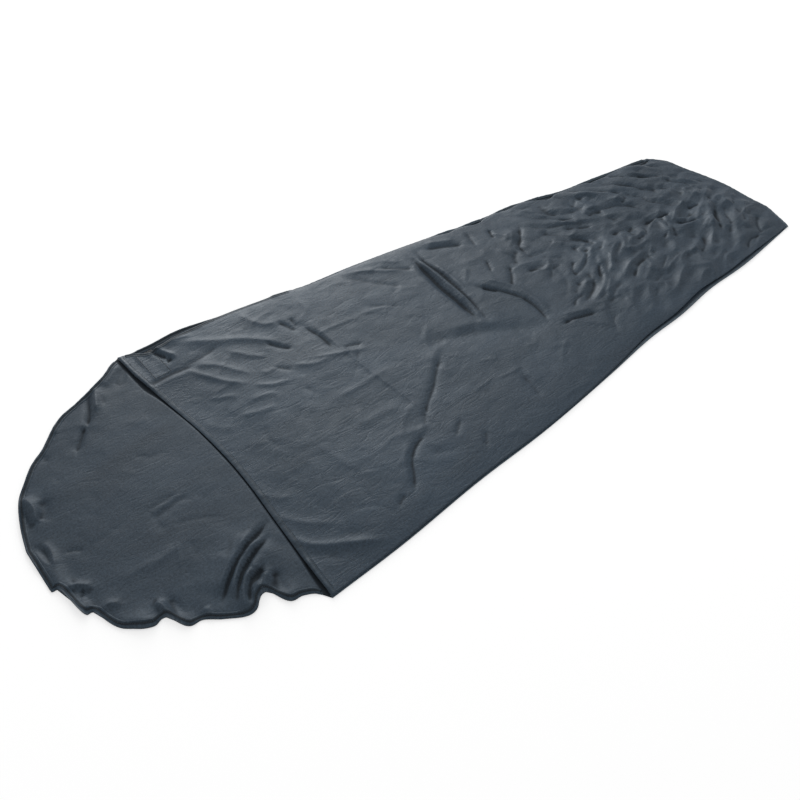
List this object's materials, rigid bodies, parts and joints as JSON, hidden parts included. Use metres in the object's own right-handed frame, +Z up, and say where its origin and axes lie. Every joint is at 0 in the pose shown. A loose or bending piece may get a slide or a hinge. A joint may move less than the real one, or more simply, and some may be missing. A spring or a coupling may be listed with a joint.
{
  "type": "mummy sleeping bag liner",
  "caption": "Flat, thin mummy sleeping bag of silky slate-grey cloth: tapered two-layer body, rounded flat hood, open mouth and a side slit closed by a hook-and-loop patch.",
  "frame": {"origin": "middle of the bag's outline on the ground it lies on", "axes": "+X along the bag from the hood's tip to the foot, +Y across it from the near side to the side with the slit, +Z up out of the front panel"},
  "size_m": [2.1999, 0.875, 0.0205],
  "materials": {
    "back_cloth": "dull inner face of a dark slate-blue woven lining cloth",
    "front_cloth": "silky outer face of a dark slate-blue woven lining cloth, soft sheen",
    "hem_cloth": "the same cloth folded under and stitched",
    "seam_cloth": "rolled seam allowance of the same cloth",
    "hook_tape": "woven nylon hook tape",
    "loop_tape": "brushed nylon loop tape",
    "thread": "polyester sewing thread"
  },
  "bodies": {
    "bag": {"back_panel": "back_cloth", "front_panel": "front_cloth", "near_seam": "seam_cloth", "far_seam": "seam_cloth", "foot_seam": "seam_cloth", "slit_back_hem": "hem_cloth", "loop_patch": "loop_tape", "slit_bartack": "thread", "near_seam_thread": "thread", "far_seam_thread": "thread"},
    "hood": {"hood_panel": "back_cloth", "hood_hem": "hem_cloth", "hood_hem_thread": "thread"},
    "corner": {"front_corner": "front_cloth", "mouth_hem": "hem_cloth", "slit_front_hem": "hem_cloth", "hook_patch": "hook_tape", "mouth_hem_thread": "thread", "patch_thread": "thread"}
  },
  "joints": [
    {"name": "hood_fold", "type": "hinge", "parent": "bag", "child": "hood", "pos_m": [-0.717, 0, 0.002], "axis": [0, 1, 0], "range_deg": [0, 90]},
    {"name": "corner_fold", "type": "hinge", "parent": "bag", "child": "corner", "pos_m": [-0.703, -0.4375, 0.0205], "axis": [0.4928, 0.8701, 0], "range_deg": [0, 150]}
  ]
}
